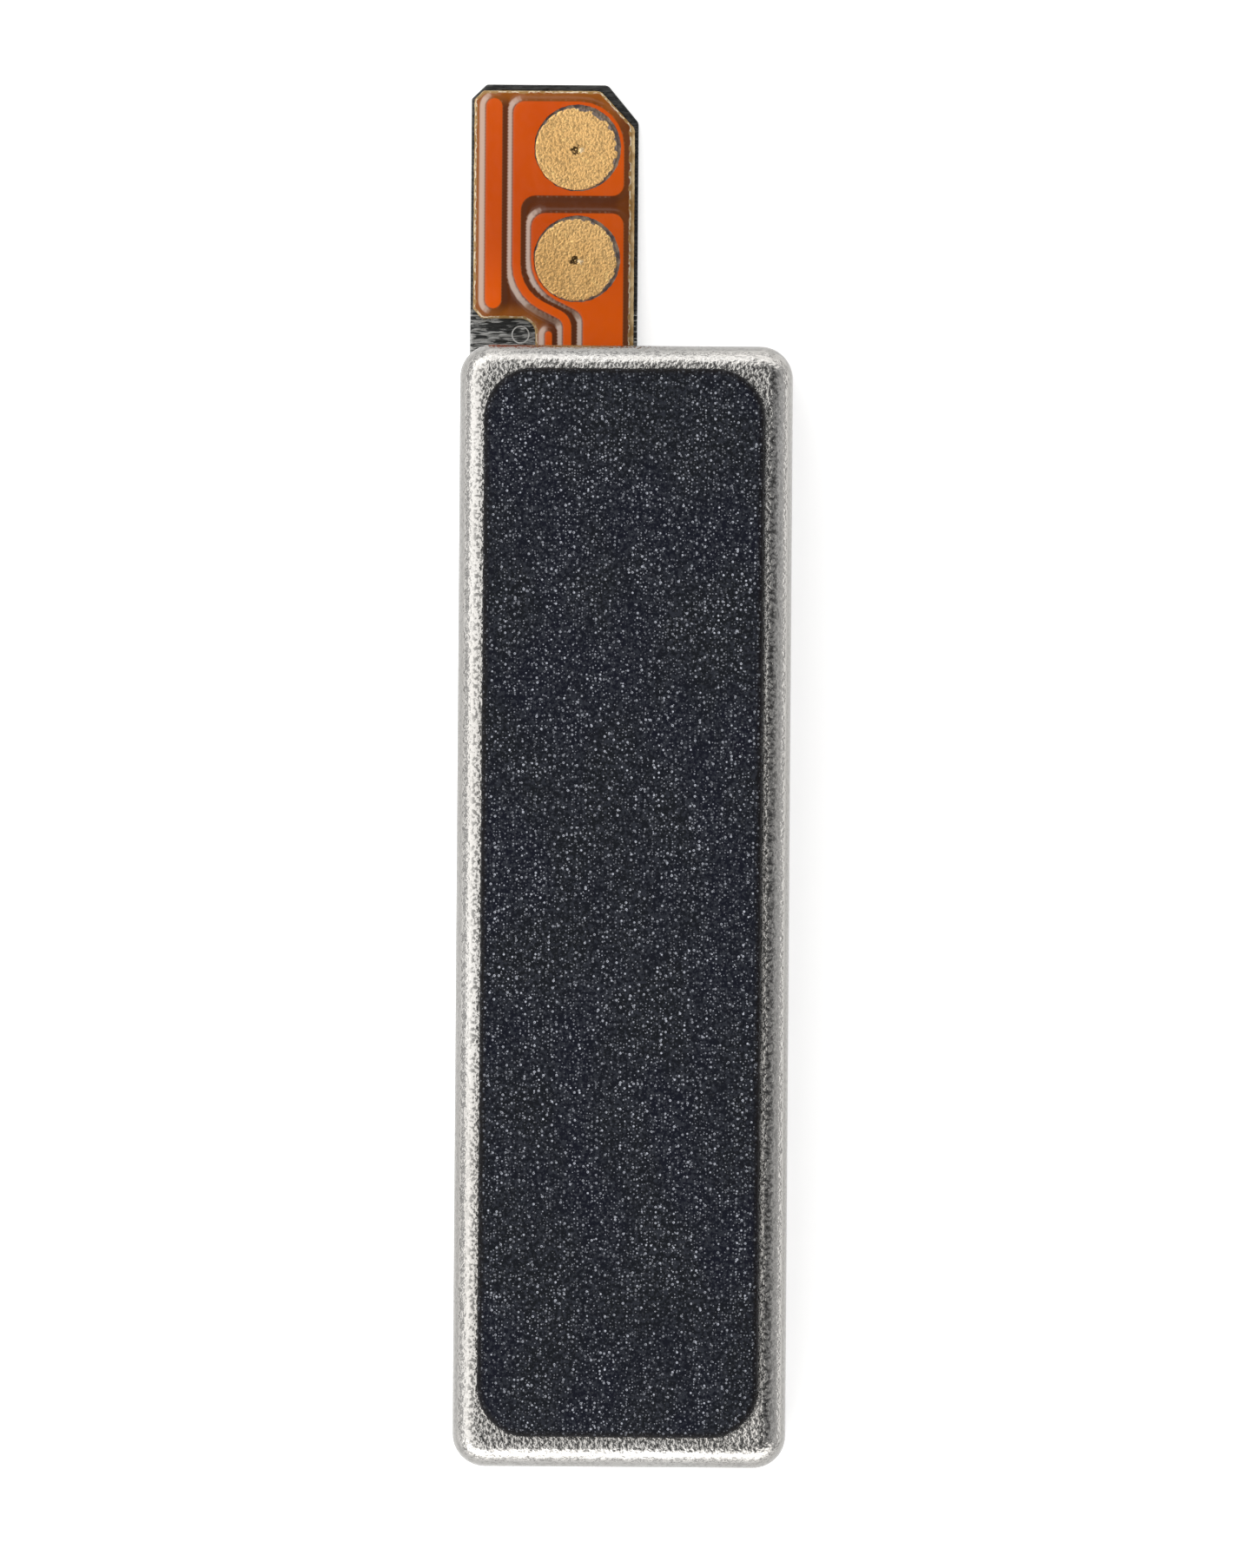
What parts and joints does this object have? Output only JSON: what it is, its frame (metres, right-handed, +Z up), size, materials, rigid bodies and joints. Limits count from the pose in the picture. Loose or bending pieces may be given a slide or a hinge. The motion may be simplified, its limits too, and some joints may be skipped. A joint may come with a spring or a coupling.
{
  "type": "linear vibration motor",
  "caption": "Slim rectangular linear vibration motor for a handheld device, with a foam pad on its steel case and a flex circuit tab with round contact pads.",
  "frame": {"origin": "middle of the case's footprint, on the underside of the base plate", "axes": "+X across the case, +Y along the case towards the flex tab, +Z up from the base plate to the foam pad"},
  "size_m": [0.0046, 0.0191, 0.0033],
  "materials": {
    "case_steel": "bead-blasted stainless sheet, drawn",
    "base_steel": "dark rolled stainless sheet, brushed across the tab",
    "pad_foam": "black microcellular foam",
    "adhesive": "pressure-sensitive adhesive film",
    "flex_base": "amber polyimide film",
    "cover_film": "glossy amber cover film, orange over copper and brown elsewhere",
    "copper": "rolled copper foil",
    "contact_gold": "matt gold plating, fine grained",
    "magnet_wire": "enamelled copper wire",
    "solder": "tin solder",
    "stop_rubber": "moulded elastomer",
    "damper_foam": "soft damping foam",
    "tungsten": "sintered tungsten alloy",
    "magnet_nickel": "nickel-plated sintered magnet",
    "pole_steel": "plated magnetic steel",
    "spring_steel": "bright rolled spring steel"
  },
  "bodies": {
    "case": {"base_plate": "base_steel", "case_shell": "case_steel", "cover_pad_adhesive": "adhesive", "cover_pad": "pad_foam", "flex_adhesive": "adhesive", "flex_film": "flex_base", "flex_coverlay": "cover_film", "trace_guard": "copper", "trace_stub": "copper", "trace_outer_pad": "copper", "trace_inner_pad": "copper", "contact_pad_outer": "contact_gold", "contact_pad_inner": "contact_gold", "voice_coil": "magnet_wire", "coil_lead_start": "magnet_wire", "coil_lead_finish": "magnet_wire", "solder_joint_start": "solder", "solder_joint_finish": "solder", "end_stop_front": "stop_rubber", "end_stop_rear": "stop_rubber", "leaf_spring_front": "spring_steel", "leaf_spring_rear": "spring_steel", "spring_keeper_case_front": "spring_steel", "spring_keeper_case_rear": "spring_steel", "foam_damper_front": "damper_foam", "foam_damper_rear": "damper_foam"},
    "mover": {"mass_block": "tungsten", "magnet_front": "magnet_nickel", "magnet_middle": "magnet_nickel", "magnet_rear": "magnet_nickel", "pole_plate": "pole_steel", "spring_keeper_mass_front": "spring_steel", "spring_keeper_mass_rear": "spring_steel"}
  },
  "joints": [
    {"name": "mass_slide", "type": "slide", "parent": "case", "child": "mover", "axis": [0, 1, 0], "range_m": [-0.0005, 0.0005], "stiffness_N_per_m": 650, "deforming": ["leaf_spring_front", "leaf_spring_rear", "foam_damper_front", "foam_damper_rear"]}
  ]
}
